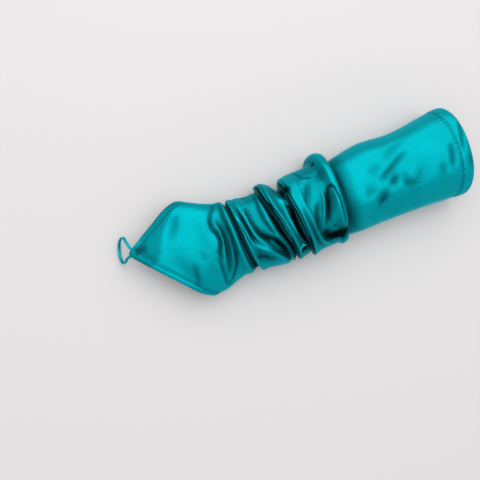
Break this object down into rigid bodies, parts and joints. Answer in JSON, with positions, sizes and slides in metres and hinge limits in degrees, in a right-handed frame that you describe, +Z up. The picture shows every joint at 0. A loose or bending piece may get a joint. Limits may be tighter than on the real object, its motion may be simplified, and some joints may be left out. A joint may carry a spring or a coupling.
{
  "type": "fingerless evening mitten",
  "caption": "Long satin evening mitten without fingers, worn form: pointed back of the hand with a finger loop, gathers over the wrist and a smooth hemmed arm end.",
  "frame": {"origin": "on the surface that the mitten lies on, under the middle of its box", "axes": "+X along the mitten from the fingertips to the arm, +Y to the little finger's side, +Z up, out of the back of the hand"},
  "size_m": [0.3368, 0.1026, 0.0461],
  "materials": {
    "satin": "glossy satin weave",
    "satin_back": "dull back of the satin"
  },
  "bodies": {
    "root": {"sleeve": "satin", "hand_hem": "satin_back", "arm_hem": "satin_back", "finger_loop": "satin"}
  },
  "joints": []
}
